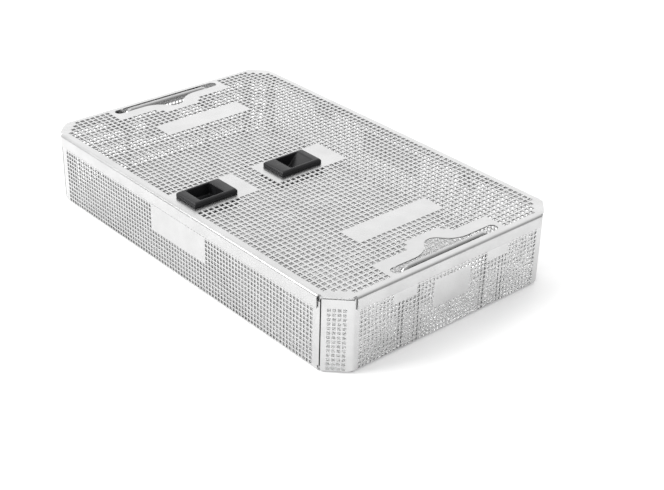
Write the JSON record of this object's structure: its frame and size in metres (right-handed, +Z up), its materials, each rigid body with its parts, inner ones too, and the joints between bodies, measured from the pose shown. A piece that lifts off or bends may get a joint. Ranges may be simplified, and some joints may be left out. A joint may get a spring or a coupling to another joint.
{
  "type": "instrument basket",
  "caption": "Shallow perforated sheet-metal basket with cut corners, a hook-in lid with slots for sunken handles, and a finger-operated sliding bolt latch.",
  "frame": {"origin": "on the surface that the basket stands on, under the middle of the lid", "axes": "+X along the basket towards the right end, +Y from the front wall with the latch to the back wall, +Z up"},
  "size_m": [0.402, 0.25, 0.0726],
  "materials": {
    "wall_steel": "electropolished stainless sheet, bright and soft",
    "lid_steel": "electropolished stainless sheet, bright and soft",
    "bracket_steel": "plain stainless sheet",
    "wire_steel": "polished stainless wire",
    "fixing_steel": "turned stainless",
    "grip_plastic": "black heat-proof plastic, satin"
  },
  "bodies": {
    "basket": {"bottom_sheet": "wall_steel", "front_wall": "wall_steel", "back_wall": "wall_steel", "right_end_wall": "wall_steel", "left_end_wall": "wall_steel", "guide_right_front": "bracket_steel", "guide_right_back": "bracket_steel", "guide_left_front": "bracket_steel", "guide_left_back": "bracket_steel", "latch_keeper": "bracket_steel"},
    "lid": {"lid_sheet": "lid_steel", "fixed_grip": "grip_plastic", "fixed_grip_housing": "grip_plastic", "fixed_grip_screws": "fixing_steel", "latch_rail_right": "grip_plastic", "latch_rail_left": "grip_plastic"},
    "latch": {"latch_grip": "grip_plastic", "latch_bolt": "bracket_steel", "latch_rivets": "fixing_steel"},
    "right_handle": {"handle_right": "wire_steel"},
    "left_handle": {"handle_left": "wire_steel"}
  },
  "joints": [
    {"name": "lid_hinge", "type": "hinge", "parent": "basket", "child": "lid", "pos_m": [0, 0.1235, 0.0558], "axis": [-1, 0, 0], "range_deg": [0, 60]},
    {"name": "latch_slide", "type": "slide", "parent": "lid", "child": "latch", "axis": [0, -1, 0], "range_m": [0, 0.004]},
    {"name": "right_handle_slide", "type": "slide", "parent": "basket", "child": "right_handle", "axis": [0, 0, 1], "range_m": [0, 0.0434]},
    {"name": "left_handle_slide", "type": "slide", "parent": "basket", "child": "left_handle", "axis": [0, 0, 1], "range_m": [0, 0.0434]}
  ]
}
